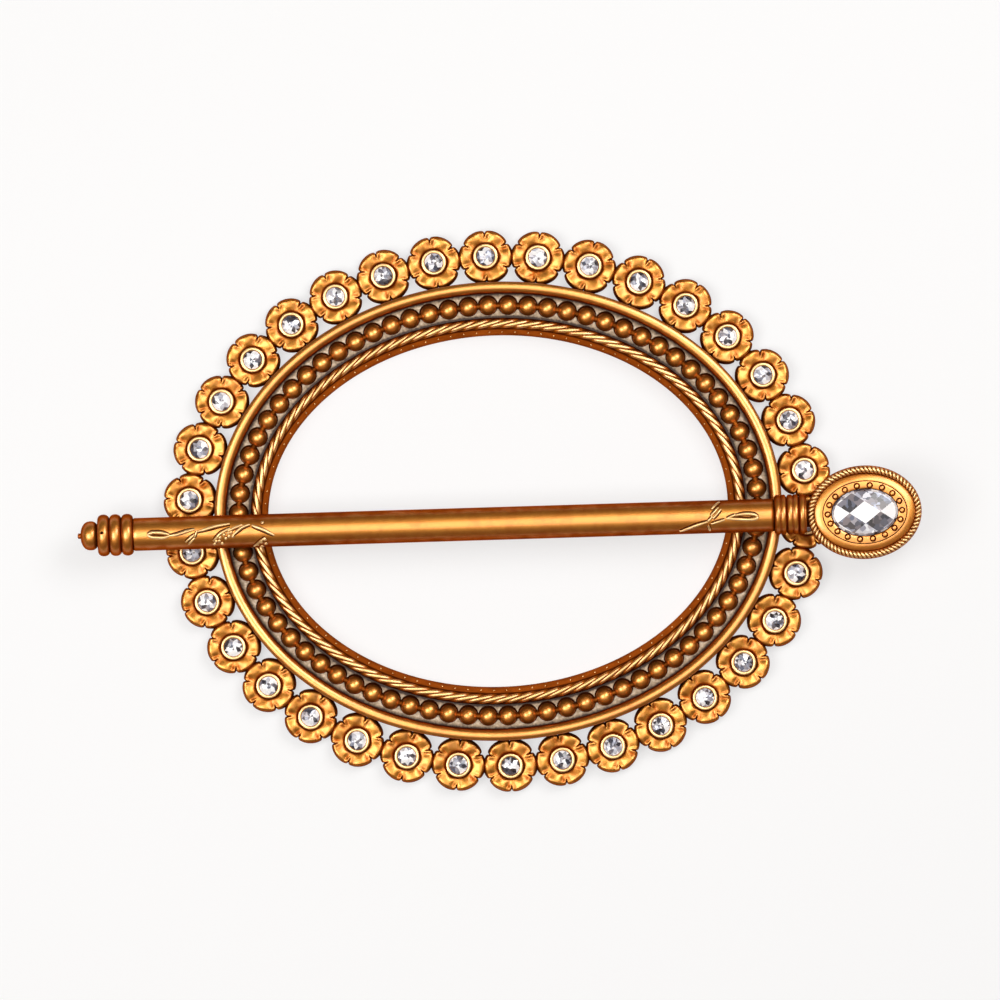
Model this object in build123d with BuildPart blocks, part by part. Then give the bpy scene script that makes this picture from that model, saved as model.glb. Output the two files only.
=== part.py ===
from build123d import *
from math import atan2, cos, degrees, radians, sin
import os

os.makedirs("parts", exist_ok=True)

# Curtain tieback: an oval ring of moulded flowers, rail, beads and rope, lying on its back,
# with a separate pin laid across its front. Millimetres, Z up, X along the long axis of the oval.
# The origin is the middle of the oval on the back plane.

# Line of flower centres, an oval; the bands inside it are measured inward from this line
flower_line_half_length = 76.4
flower_line_half_height = 63.0
band_sides_per_flower = 2

# Flowers
flower_pitch = 12.92
petal_count = 6
petal_size = 3.2
petal_sides = 6
petal_weld = 0.12
petal_height = 3.9
dish_point_height = 1.5
dish_overcut = 0.3
flower_root_width = 3.4

# Setting in the middle of each flower, its lip leaning in over the stone
setting_sides = 6
setting_radius = 3.25
setting_height = 5.2
cup_radius = 2.75
cup_depth = 0.9
cup_lean = 14.0
stone_clearance = 0.03
stone_height = 1.8

# Smooth rail
rail_weld = 0.12
rail_width = 2.7
rail_height = 8.0
rail_bevel_width = 0.75
rail_bevel_height = 1.2

# Sunk channel with its row of beads
channel_width = 6.3
channel_floor_height = 4.5
bead_pitch = 4.88
bead_sides = 6
bead_radius = 2.22
bead_crown_radius = 1.75
bead_crown_height = 1.3
bead_height = 2.5
bead_sink = 0.2

# Twisted rope along the opening
rope_width = 2.7
rope_bed_height = 7.1
strand_pitch = 3.28
strand_length = 5.4
strand_width = 2.1
strand_slant = 25.0
strand_rise = 0.85
strand_sink = 0.1
opening_draft = 13.0

# Pin across the front, resting on the rail with its first collar rib
shaft_radius = 4.05
pin_sides = 16
pin_drop = 3.0
pin_turn = -1.06
pin_reach = 103.7
rest_gap = 0.02
nub_radius = 0.7
nub_length = 0.8
nub_sides = 8
knob_radius = 3.6
knob_length = 4.2
knob_end_radius = 2.4
knob_shoulder = 1.2
finial_ring_count = 3
finial_ring_pitch = 2.92
finial_ring_radius = 5.2
finial_groove_radius = 3.9
collar_shift = 0.68
collar_rib_count = 3
collar_rib_pitch = 3.0
collar_rib_land = 1.0
collar_rib_radius = 4.95
collar_groove_radius = 4.3

# Oval head of the pin with its crystal; the last rib of the collar runs in under its edge
head_overlap = 1.05
head_turn = 1.8
head_sides = 24
head_length = 28.4
head_width = 23.4
head_back = 3.6
head_front = 4.4
head_bevel_width = 0.7
head_bevel_height = 1.0
head_edge_width = 1.7
head_face_sink = 0.8
crystal_sides = 12
crystal_length = 16.3
crystal_width = 11.5
crystal_clearance = 0.05
seat_depth = 1.6
girdle_height = 1.8
crown_height = 1.3
crown_draft = 50.0
table_height = 0.6
table_draft = 72.0


def oval_line(depth):
    return Edge.make_ellipse(flower_line_half_length - depth, flower_line_half_height - depth)


def count_along(depth, pitch):
    return round(oval_line(depth).length / pitch)


def places_along(depth, pitch):
    """Evenly spaced places on an oval: x points out of the oval, y runs along it."""
    line = oval_line(depth)
    count = count_along(depth, pitch)
    places = []
    for step in range(count):
        share = (step + 0.5) / count
        along = line.tangent_at(share)
        places.append(Location(Plane(line.position_at(share), x_dir=along.rotate(Axis.Z, -90))))
    return places


def band_outline(depth, height):
    """Many-sided oval at a depth inside the flower line and a height above the back."""
    line = oval_line(depth)
    corners = [line.position_at(side / band_sides) for side in range(band_sides)]
    with BuildSketch(Plane.XY.offset(height)) as outline:
        with BuildLine():
            Polyline(*corners, close=True)
        make_face()
    return outline.sketch


# Depths of the bands, one after the other, from the flowers to the opening
flower_count = count_along(0, flower_pitch)
flower_places = places_along(0, flower_pitch)
flower_spacing = oval_line(0).length / flower_count
band_sides = band_sides_per_flower * flower_count
petal_turn = 180 / petal_count
petal_reach = flower_spacing / 2 + petal_weld
petal_offset = petal_reach - petal_size * cos(radians(180 / petal_sides))
flower_depth = petal_reach * cos(radians(petal_turn)) + petal_size / 2 * sin(radians(petal_turn))
rail_outer = flower_depth - rail_weld
rail_middle = rail_outer + rail_width / 2
rail_inner = rail_outer + rail_width
bead_depth = rail_inner + channel_width / 2
rope_outer = rail_inner + channel_width
rope_middle = rope_outer + rope_width / 2
rope_inner = rope_outer + rope_width
rail_shoulder = rail_height - rail_bevel_height
rail_bevel_draft = degrees(atan2(rail_bevel_width, rail_bevel_height))

dish_spread = petal_reach / (petal_height - dish_point_height)
dish_rim_reach = petal_reach + dish_spread * dish_overcut
bead_narrowing = (bead_radius - bead_crown_radius) * cos(radians(180 / bead_sides))
bead_draft = degrees(atan2(bead_narrowing, bead_sink + bead_crown_height))

# One flower: petals rising outward from a setting with a cup, on a root that grows out of the rail
with BuildPart() as flower:
    with BuildSketch():
        with PolarLocations(petal_offset, petal_count, start_angle=petal_turn):
            RegularPolygon(petal_size, petal_sides, rotation=petal_turn)
        RegularPolygon(petal_offset, petal_count)
        Rectangle(flower_depth, flower_root_width, align=(Align.MAX, Align.CENTER))
    extrude(amount=petal_height)
    with BuildSketch(Plane.XY.offset(petal_height + dish_overcut), mode=Mode.PRIVATE) as dish_rim:
        RegularPolygon(dish_rim_reach, petal_count, major_radius=False)
    loft(sections=[dish_rim.sketch.face(), Vertex(0, 0, dish_point_height)], ruled=True, mode=Mode.SUBTRACT)
    with BuildSketch():
        RegularPolygon(setting_radius, setting_sides)
    extrude(amount=setting_height)
    with BuildSketch(Plane.XY.offset(setting_height - cup_depth)):
        RegularPolygon(cup_radius, setting_sides)
    extrude(amount=cup_depth, taper=cup_lean, mode=Mode.SUBTRACT)

# One bead of the channel, a faceted dome sunk a little into the floor
with BuildPart() as bead:
    with BuildSketch(Plane.XY.offset(channel_floor_height - bead_sink)):
        RegularPolygon(bead_radius, bead_sides)
    extrude(amount=bead_sink + bead_crown_height, taper=bead_draft)
    bead_shoulder = bead.faces().sort_by(Axis.Z)[-1]
    loft(sections=[bead_shoulder, Vertex(0, 0, channel_floor_height + bead_height)], ruled=True)

# One strand of the rope, a slanted lozenge that rises to a point
with BuildPart() as strand:
    with BuildSketch(Plane.XY.offset(rope_bed_height - strand_sink)) as strand_foot:
        with BuildLine():
            Polyline(
                (strand_width / 2, 0),
                (0, strand_length / 2),
                (-strand_width / 2, 0),
                (0, -strand_length / 2),
                close=True,
            )
        make_face()
    strand_top = Vertex(0, 0, rope_bed_height + strand_rise)
    loft(sections=[strand_foot.sketch.faces()[0], strand_top], ruled=True)

# The hollows of the opening and of the channel, drawn upside down with the wide rim at the bottom
opening_rim = band_outline(rope_inner, 0)
channel_rim = band_outline(rail_inner - rail_bevel_width, 0)

with BuildPart() as opening:
    extrude(opening_rim, amount=rope_bed_height, taper=opening_draft)

with BuildPart() as channel:
    extrude(channel_rim, amount=rail_bevel_height, taper=rail_bevel_draft)
    channel_neck = channel.faces().sort_by(Axis.Z)[-1]
    extrude(channel_neck, amount=rail_shoulder - channel_floor_height)

# The ring: rail, channel and rope bed in steps, then the flowers, beads and strands along it
body_outline = band_outline(rail_outer, 0)
rope_outline = band_outline(rope_outer, channel_floor_height)
strand_places = [place * Rotation(0, 0, strand_slant) for place in places_along(rope_middle, strand_pitch)]

with BuildPart() as ring_frame:
    extrude(body_outline, amount=rail_shoulder)
    rail_face = ring_frame.faces().sort_by(Axis.Z)[-1]
    extrude(rail_face, amount=rail_bevel_height, taper=rail_bevel_draft)
    with Locations(Location((0, 0, rail_height), (180, 0, 0))):
        add(channel.part, mode=Mode.SUBTRACT)
    extrude(rope_outline, amount=rope_bed_height - channel_floor_height)
    with Locations(Location((0, 0, rope_bed_height), (180, 0, 0))):
        add(opening.part, mode=Mode.SUBTRACT)
    with Locations(*flower_places):
        add(flower.part)
    with Locations(*places_along(bead_depth, bead_pitch)):
        add(bead.part)
    with Locations(*strand_places):
        add(strand.part)

# Pin: its axis drops onto the rail on both sides, shaft on the left, first collar rib on the right
rest_reach = flower_line_half_length - rail_middle
pin_tilt = degrees(atan2(collar_rib_radius - shaft_radius, 2 * rest_reach))
pin_height = rail_height + (shaft_radius + collar_rib_radius) / 2 + rest_gap
pin_plane = Plane((0, -pin_drop, pin_height)).rotated((0, -pin_tilt, pin_turn))

collar_start = rest_reach + collar_shift - collar_rib_pitch / 2
collar_end = collar_start + collar_rib_count * collar_rib_pitch
head_start = collar_end - head_overlap
head_middle = head_start + head_length / 2
tip = -pin_reach
knob_start = tip + nub_length
knob_end = knob_start + knob_length
shaft_start = knob_end + finial_ring_count * finial_ring_pitch

side_share = cos(radians(180 / pin_sides))
knob_draft = degrees(atan2((knob_radius - knob_end_radius) * side_share, knob_shoulder))
ring_draft = degrees(atan2((finial_ring_radius - finial_groove_radius) * side_share, finial_ring_pitch / 2))
rib_slope = (collar_rib_pitch - collar_rib_land) / 2
rib_draft = degrees(atan2((collar_rib_radius - collar_groove_radius) * side_share, rib_slope))


def across(along):
    """Plane square to the pin at a distance along it, looking towards the head."""
    return Plane(pin_plane.from_local_coords((along, 0, 0)), x_dir=pin_plane.z_dir, z_dir=pin_plane.x_dir)


def head_oval(height, length, width, sides):
    """Many-sided oval round the middle of the head, at a height above the axis of the pin."""
    turns = [radians(360 * side / sides) for side in range(sides)]
    corners = [(length / 2 * cos(turn), width / 2 * sin(turn)) for turn in turns]
    with BuildSketch(pin_plane.offset(height)) as oval:
        with Locations(Location((head_middle, 0, 0), (0, 0, head_turn))):
            Polygon(*corners, align=None)
    return oval.sketch


ring_places = [across(knob_end + (ring + 0.5) * finial_ring_pitch) for ring in range(finial_ring_count)]
rib_places = [across(collar_start + (rib + 0.5) * collar_rib_pitch) for rib in range(collar_rib_count)]
head_face_length = head_length - 2 * head_edge_width
head_face_width = head_width - 2 * head_edge_width
face_height = head_front - head_face_sink
seat_height = face_height - seat_depth
head_bevel_draft = degrees(atan2(head_bevel_width, head_bevel_height))
head_outline = head_oval(-head_back, head_length, head_width, head_sides)
head_shoulder = head_oval(head_front - head_bevel_height, head_length, head_width, head_sides)
head_face = head_oval(face_height, head_face_length, head_face_width, head_sides)
crystal_seat = head_oval(seat_height, crystal_length, crystal_width, crystal_sides)
crystal_fit_length = crystal_length - 2 * crystal_clearance
crystal_fit_width = crystal_width - 2 * crystal_clearance
crystal_outline = head_oval(seat_height, crystal_fit_length, crystal_fit_width, crystal_sides)

# Knob, finial ring and collar rib, each the same on both sides of its middle
with BuildPart() as knob:
    with BuildSketch():
        RegularPolygon(knob_radius, pin_sides)
    extrude(amount=knob_length / 2 - knob_shoulder)
    knob_face = knob.faces().sort_by(Axis.Z)[-1]
    extrude(knob_face, amount=knob_shoulder, taper=knob_draft)
    mirror(about=Plane.XY)

with BuildPart() as finial_ring:
    with BuildSketch():
        RegularPolygon(finial_ring_radius, pin_sides)
    extrude(amount=finial_ring_pitch / 2, taper=ring_draft)
    mirror(about=Plane.XY)

with BuildPart() as collar_rib:
    with BuildSketch():
        RegularPolygon(collar_rib_radius, pin_sides)
    extrude(amount=collar_rib_land / 2)
    rib_face = collar_rib.faces().sort_by(Axis.Z)[-1]
    extrude(rib_face, amount=rib_slope, taper=rib_draft)
    mirror(about=Plane.XY)

with BuildPart() as pin:
    with BuildSketch(across(shaft_start)):
        Circle(shaft_radius)
    extrude(amount=collar_start - shaft_start)
    with BuildSketch(across(tip)):
        RegularPolygon(nub_radius, nub_sides)
    extrude(amount=nub_length)
    with Locations(across(knob_start + knob_length / 2)):
        add(knob.part)
    with Locations(*ring_places):
        add(finial_ring.part)
    with Locations(*rib_places):
        add(collar_rib.part)
    extrude(head_outline, amount=head_back + head_front - head_bevel_height)
    extrude(head_shoulder, amount=head_bevel_height, taper=head_bevel_draft)
    extrude(head_face, amount=head_face_sink, mode=Mode.SUBTRACT)
    extrude(crystal_seat, amount=seat_depth, mode=Mode.SUBTRACT)

# Crystal: flat back, straight girdle, two rows of slanted facets and a table
with BuildPart() as oval_crystal:
    extrude(crystal_outline, amount=girdle_height)
    girdle_face = oval_crystal.faces().sort_by(Axis.Z)[-1]
    extrude(girdle_face, amount=crown_height, taper=crown_draft)
    crown_face = oval_crystal.faces().sort_by(Axis.Z)[-1]
    extrude(crown_face, amount=table_height, taper=table_draft)

ring_frame.part.label = "ring_frame"
export_step(ring_frame.part, "parts/ring_frame.step")
pin.part.label = "pin"
export_step(pin.part, "parts/pin.step")
oval_crystal.part.label = "oval_crystal"
export_step(oval_crystal.part, "parts/oval_crystal.step")

# Stones: flat on the cup floor, sides leaning in under the lip, one to each flower
for number, place in enumerate(flower_places, start=1):
    with BuildPart() as stone:
        with BuildSketch(Plane(place).offset(setting_height - cup_depth)):
            RegularPolygon(cup_radius - stone_clearance, setting_sides)
        extrude(amount=stone_height, taper=cup_lean)
    stone.part.label = f"flower_stone_{number:02d}"
    export_step(stone.part, f"parts/flower_stone_{number:02d}.step")
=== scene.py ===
import random
from math import atan2, cos, exp, hypot, pi, radians, sin, sqrt, tan

import bpy
from mathutils import Matrix, Vector, noise


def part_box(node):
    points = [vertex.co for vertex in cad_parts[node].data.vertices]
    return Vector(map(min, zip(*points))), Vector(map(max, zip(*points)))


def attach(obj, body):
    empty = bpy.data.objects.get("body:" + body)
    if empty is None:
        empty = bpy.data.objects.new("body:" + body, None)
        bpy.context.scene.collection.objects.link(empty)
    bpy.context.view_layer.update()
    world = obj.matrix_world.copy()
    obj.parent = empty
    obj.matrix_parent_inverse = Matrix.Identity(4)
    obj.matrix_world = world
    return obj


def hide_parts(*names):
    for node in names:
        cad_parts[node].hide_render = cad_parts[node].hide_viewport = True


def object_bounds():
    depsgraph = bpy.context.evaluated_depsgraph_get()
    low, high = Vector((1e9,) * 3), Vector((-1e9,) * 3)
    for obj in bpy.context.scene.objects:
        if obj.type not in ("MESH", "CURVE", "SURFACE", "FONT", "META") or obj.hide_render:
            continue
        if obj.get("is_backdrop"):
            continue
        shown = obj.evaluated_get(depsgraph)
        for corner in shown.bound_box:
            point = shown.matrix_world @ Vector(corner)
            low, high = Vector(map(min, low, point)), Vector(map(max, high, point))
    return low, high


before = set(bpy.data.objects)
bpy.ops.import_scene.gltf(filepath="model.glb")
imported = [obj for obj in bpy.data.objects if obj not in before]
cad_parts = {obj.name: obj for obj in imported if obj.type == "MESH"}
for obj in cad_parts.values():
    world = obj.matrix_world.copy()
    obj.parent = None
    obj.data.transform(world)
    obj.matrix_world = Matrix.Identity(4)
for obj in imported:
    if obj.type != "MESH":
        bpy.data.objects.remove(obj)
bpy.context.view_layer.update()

mm = 0.001
same_place = 0.002

# Sizes shared with the solids, in millimetres
flower_line_half_length = 76.4
flower_line_half_height = 63.0
stone_count = 34
bead_count = 74
bead_depth = 12.3
rope_depth = 16.75
rope_strand_count = 102
rope_slant = 24.0
channel_floor = 4.5
shaft_radius = 4.05
pin_drop = 3.0
pin_height = 12.52
pin_turn = -1.06
pin_tilt = 0.3755
head_middle = 90.0
head_turn = 1.8
pin_place = (
    Matrix.Translation((0, -pin_drop * mm, pin_height * mm))
    @ Matrix.Rotation(radians(pin_turn), 4, "Z")
    @ Matrix.Rotation(radians(-pin_tilt), 4, "Y")
)
head_place = (
    pin_place
    @ Matrix.Translation((head_middle * mm, 0, 0))
    @ Matrix.Rotation(radians(head_turn), 4, "Z")
)


# Camera: straight down on the front, turned a little so that the long axis of the oval leans
camera_turn = 2.81
camera_shift = (0.61, 2.73)
frame_width = 246.9
camera_reach = 2.2
camera_lift = 5.0
sensor_width = 36
camera_data = bpy.data.cameras.new("front_camera")
camera_data.sensor_width = sensor_width
camera_data.lens = sensor_width * camera_reach / (frame_width * mm)
camera_data.clip_start = 0.1
camera_data.clip_end = 50
camera = bpy.data.objects.new("front_camera", camera_data)
bpy.context.scene.collection.objects.link(camera)
camera.location = (camera_shift[0] * mm, camera_shift[1] * mm, camera_reach + camera_lift * mm)
camera.rotation_euler = (0, 0, radians(-camera_turn))
bpy.context.scene.camera = camera


def fresh():
    """Leaves nothing selected."""
    bpy.ops.object.select_all(action="DESELECT")


def pick(piece):
    fresh()
    piece.select_set(True)
    bpy.context.view_layer.objects.active = piece


def named(name):
    piece = bpy.context.active_object
    piece.name = name
    piece.data.name = name
    return piece


def edit():
    bpy.ops.object.mode_set(mode="EDIT")


def leave():
    bpy.ops.object.mode_set(mode="OBJECT")


def close_up():
    """Merges doubles and turns all faces outwards, then leaves edit mode."""
    bpy.ops.mesh.select_all(action="SELECT")
    bpy.ops.mesh.remove_doubles(threshold=same_place * mm)
    bpy.ops.mesh.normals_make_consistent(inside=False)
    leave()


def open_edges():
    bpy.ops.mesh.select_mode(type="EDGE")
    bpy.ops.mesh.select_all(action="DESELECT")
    bpy.ops.mesh.select_non_manifold()


def smooth(piece, angle=40):
    pick(piece)
    bpy.ops.object.shade_smooth_by_angle(angle=radians(angle))


def settle(piece):
    """Puts a piece's place into its mesh, so that its object sits at the origin."""
    pick(piece)
    bpy.ops.object.transform_apply(location=True, rotation=True, scale=True)


def step(low, high, value):
    """Rises softly from 0 at the low value to 1 at the high one."""
    share = min(1.0, max(0.0, (value - low) / (high - low)))
    return share * share * (3 - 2 * share)


def bump(middle, width, value):
    """1 at the middle, falling off softly over the width on both sides."""
    return exp(-(((value - middle) / width) ** 2))


def spread(low, high, count):
    return [low + (high - low) * k / (count - 1) for k in range(count)]


# Painted shade with brown patina: how dark the backs and the nub of the pin are, and how dark the deepest
# hollows are
back_darkening, deep_shade_and_patina = 0.35, 0.95


def shade_and_patina(piece, rule):
    """How dark a piece is painted, from 0 to 1, by place in millimetres: painted shade in hollows, under
    parts and between them, together with brown patina.
    """
    layer = piece.data.attributes.new("shade_and_patina", "FLOAT", "POINT")
    layer.data.foreach_set("value", [min(1.0, max(0.0, rule(v.co / mm))) for v in piece.data.vertices])


def join(parts, name):
    fresh()
    for part in parts:
        part.select_set(True)
    bpy.context.view_layer.objects.active = parts[0]
    bpy.ops.object.join()
    piece = named(name)
    settle(piece)
    return piece


def repeat(master, places, name):
    """A copy of one shape at every place, each with its own mesh, joined into one piece."""
    copies = []
    for place in places:
        copy = master.copy()
        copy.data = master.data.copy()
        bpy.context.scene.collection.objects.link(copy)
        copy.matrix_world = place
        copies.append(copy)
    bpy.data.objects.remove(master)
    return join(copies, name)


def dress(piece, finish):
    piece.data.materials.clear()
    piece.data.materials.append(finish)
    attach(piece, "root")


def oval_rows(name, rows, steps, closed):
    """An oval loop drawn out row by row; each row is half length, half width, height."""
    fresh()
    length, width, height = rows[0]
    fill = "NOTHING" if closed else "NGON"
    bpy.ops.mesh.primitive_circle_add(
        vertices=steps, radius=length * mm, fill_type=fill, location=(0, 0, 0)
    )
    piece = named(name)
    edit()
    bpy.ops.transform.resize(value=(1, width / length, 1), center_override=(0, 0, 0))
    bpy.ops.transform.translate(value=(0, 0, height * mm))
    for last, row in zip(rows, rows[1:]):
        rise = {"value": (0, 0, (row[2] - last[2]) * mm)}
        if closed:
            bpy.ops.mesh.extrude_edges_move(TRANSFORM_OT_translate=rise)
        else:
            bpy.ops.mesh.extrude_region_move(TRANSFORM_OT_translate=rise)
        grow = (row[0] / last[0], row[1] / last[1], 1)
        bpy.ops.transform.resize(value=grow, center_override=(0, 0, row[2] * mm))
    if closed:
        open_edges()
        bpy.ops.mesh.bridge_edge_loops()
    close_up()
    return piece


def lathe(name, outline, steps):
    """A turned piece: an outline of places along X and radii, spun round the X axis."""
    fresh()
    bpy.ops.mesh.primitive_plane_add(size=mm, location=(0, 0, 0))
    piece = named(name)
    edit()
    bpy.ops.mesh.select_mode(type="VERT")
    bpy.ops.mesh.merge(type="CENTER")
    bpy.ops.transform.translate(value=(outline[0][0] * mm, 0, outline[0][1] * mm))
    for last, point in zip(outline, outline[1:]):
        move = {"value": ((point[0] - last[0]) * mm, 0, (point[1] - last[1]) * mm)}
        bpy.ops.mesh.extrude_vertices_move(TRANSFORM_OT_translate=move)
    bpy.ops.mesh.select_all(action="SELECT")
    bpy.ops.mesh.spin(steps=steps, angle=2 * pi, center=(0, 0, 0), axis=(1, 0, 0))
    close_up()
    return piece


def grain_of_rice(name, width, length, height, sides, rings):
    """A ball drawn out along Y, the shape of one strand of rope or cord."""
    fresh()
    bpy.ops.mesh.primitive_uv_sphere_add(segments=sides, ring_count=rings, radius=mm, location=(0, 0, 0))
    grain = named(name)
    edit()
    bpy.ops.transform.rotate(value=pi / 2, orient_axis="X", center_override=(0, 0, 0))
    bpy.ops.transform.resize(value=(width / 2, length / 2, height), center_override=(0, 0, 0))
    leave()
    return grain


def oval_stations(half_length, half_width, count):
    """Evenly spaced places on an oval, from the +X end: x, y and the way that points out."""
    fine = 7200  # short straight steps that stand for the oval
    turns = [2 * pi * k / fine for k in range(fine + 1)]
    corners = [(half_length * cos(turn), half_width * sin(turn)) for turn in turns]
    walk = [0.0]
    for one, two in zip(corners, corners[1:]):
        walk.append(walk[-1] + hypot(two[0] - one[0], two[1] - one[1]))
    stations, k = [], 0
    for number in range(count):
        goal = walk[-1] * (number + 0.5) / count
        while walk[k + 1] < goal:
            k += 1
        x, y = corners[k]
        stations.append((x, y, atan2(y / half_width ** 2, x / half_length ** 2)))
    return stations


def ring_stations(depth, count):
    return oval_stations(flower_line_half_length - depth, flower_line_half_height - depth, count)


def standing(x, y, height, turn):
    return Matrix.Translation((x * mm, y * mm, height * mm)) @ Matrix.Rotation(turn, 4, "Z")


# Finishes
def nodes_of(name):
    finish = bpy.data.materials.new(name)
    finish.use_nodes = True
    tree = finish.node_tree
    return finish, tree.nodes, tree.links, tree.nodes["Principled BSDF"]


def ramp(nodes, stops):
    made = nodes.new("ShaderNodeValToRGB")
    while len(made.color_ramp.elements) < len(stops):
        made.color_ramp.elements.new(0.5)
    for element, (place, colour) in zip(made.color_ramp.elements, stops):
        element.position = place
        element.color = (*colour, 1)
    return made


def gold_finish(name, tones, roughness, side_shade, lacquer, edge):
    """Satin gold, browner in the hollows by the attribute painted on its points (painted shade with
    patina), and on steep sides by the lean of the surface (painted shade).
    """
    finish, nodes, links, shader = nodes_of(name)
    shader.inputs["Metallic"].default_value = 0.97
    shader.inputs["Specular Tint"].default_value = (*edge, 1)
    shader.inputs["Coat Roughness"].default_value = 0.24
    shader.inputs["Coat IOR"].default_value = 1.8
    place = nodes.new("ShaderNodeTexCoord")
    cloud = nodes.new("ShaderNodeTexNoise")
    cloud.inputs["Scale"].default_value = 330
    cloud.inputs["Detail"].default_value = 4
    links.new(place.outputs["Object"], cloud.inputs["Vector"])
    grain = nodes.new("ShaderNodeTexNoise")
    grain.inputs["Scale"].default_value = 2600
    grain.inputs["Detail"].default_value = 2
    links.new(place.outputs["Object"], grain.inputs["Vector"])

    hollow = nodes.new("ShaderNodeAttribute")
    hollow.attribute_name = "shade_and_patina"
    lie = nodes.new("ShaderNodeNewGeometry")
    upward = nodes.new("ShaderNodeSeparateXYZ")
    links.new(lie.outputs["Normal"], upward.inputs["Vector"])
    # Painted shade: the further a face leans from straight up, the browner it is painted
    steep = nodes.new("ShaderNodeMapRange")
    steep.inputs["From Min"].default_value = 0.99
    steep.inputs["From Max"].default_value = 0.35
    steep.inputs["To Max"].default_value = side_shade
    links.new(upward.outputs["Z"], steep.inputs["Value"])
    either = nodes.new("ShaderNodeMath")
    either.operation = "MAXIMUM"
    links.new(hollow.outputs["Fac"], either.inputs[0])
    links.new(steep.outputs["Result"], either.inputs[1])
    patchy = nodes.new("ShaderNodeMath")
    patchy.operation = "MULTIPLY_ADD"
    patchy.inputs[1].default_value = 0.6
    patchy.inputs[2].default_value = -0.28
    links.new(cloud.outputs["Fac"], patchy.inputs[0])
    amount = nodes.new("ShaderNodeMath")
    amount.operation = "ADD"
    amount.use_clamp = True
    links.new(either.outputs[0], amount.inputs[0])
    links.new(patchy.outputs[0], amount.inputs[1])
    clean, middle, deep = tones
    tone = ramp(nodes, [(0.0, clean), (0.45, middle), (1.0, deep)])
    links.new(amount.outputs[0], tone.inputs["Fac"])
    links.new(tone.outputs["Color"], shader.inputs["Base Color"])

    dull = nodes.new("ShaderNodeMapRange")
    dull.inputs["To Min"].default_value = roughness
    dull.inputs["To Max"].default_value = roughness + 0.2
    links.new(amount.outputs[0], dull.inputs["Value"])
    links.new(dull.outputs["Result"], shader.inputs["Roughness"])
    # The lacquer thins out where the painted shade and patina are dark
    lacquer_left = nodes.new("ShaderNodeMapRange")
    lacquer_left.inputs["From Min"].default_value = 0.12
    lacquer_left.inputs["From Max"].default_value = 0.5
    lacquer_left.inputs["To Min"].default_value = lacquer
    lacquer_left.inputs["To Max"].default_value = 0.0
    links.new(amount.outputs[0], lacquer_left.inputs["Value"])
    links.new(lacquer_left.outputs["Result"], shader.inputs["Coat Weight"])
    relief = nodes.new("ShaderNodeBump")
    relief.inputs["Strength"].default_value = 0.12
    relief.inputs["Distance"].default_value = 0.00008
    links.new(grain.outputs["Fac"], relief.inputs["Height"])
    links.new(relief.outputs["Normal"], shader.inputs["Normal"])
    return finish


shade_and_patina_brown = (0.05, 0.010, 0.0012)
# In each: the clean gold, the half-darkened and the fully darkened tone, where the darkening is painted
# shade together with brown patina
# Each part has its own copy of the one gold, lighter or darker for how it is lit: painted light and shade.
# The darkest copy, for walls and lines, is painted shade; the two lightest, for raised parts and the rope,
# are painted highlight, on the raised parts together with wear.
bright_tones = ((0.85, 0.345, 0.046), (0.47, 0.102, 0.009), shade_and_patina_brown)
petal_tones = ((0.68, 0.278, 0.033), (0.40, 0.095, 0.009), shade_and_patina_brown)
pin_tones = ((0.80, 0.315, 0.042), (0.45, 0.10, 0.009), shade_and_patina_brown)
bead_tones = ((0.90, 0.37, 0.06), (0.50, 0.13, 0.014), shade_and_patina_brown)
shaded_tones = ((0.50, 0.13, 0.02), (0.20, 0.045, 0.006), shade_and_patina_brown)
wear_and_highlight_tones = ((1.0, 0.66, 0.26), (0.62, 0.22, 0.035), shade_and_patina_brown)
rope_tones = ((1.0, 0.60, 0.19), (0.46, 0.12, 0.012), shade_and_patina_brown)
plain_edge, brown_edge = (1.0, 1.0, 1.0), (0.85, 0.42, 0.2)

# In each: tones, roughness, painted shade on steep sides, lacquer, tint at the edge of sight
antique_gold = gold_finish("antique_gold", bright_tones, 0.37, 0.6, 0.9, brown_edge)
petal_gold = gold_finish("petal_gold", petal_tones, 0.36, 0.62, 0.4, brown_edge)
pin_gold = gold_finish("pin_gold", pin_tones, 0.41, 0.62, 0.7, brown_edge)
bead_gold = gold_finish("bead_gold", bead_tones, 0.41, 0.3, 0.6, brown_edge)
rope_gold = gold_finish("rope_gold", rope_tones, 0.42, 0.5, 1.0, brown_edge)
# The darker finish paints shade on walls, under parts and in lines; the lighter one paints highlight on
# raised parts, together with wear
shaded_gold = gold_finish("shaded_gold", shaded_tones, 0.6, 0.0, 0.0, brown_edge)
wear_and_highlight_gold = gold_finish("wear_and_highlight_gold", wear_and_highlight_tones, 0.42, 0.0, 1.0, plain_edge)


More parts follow.
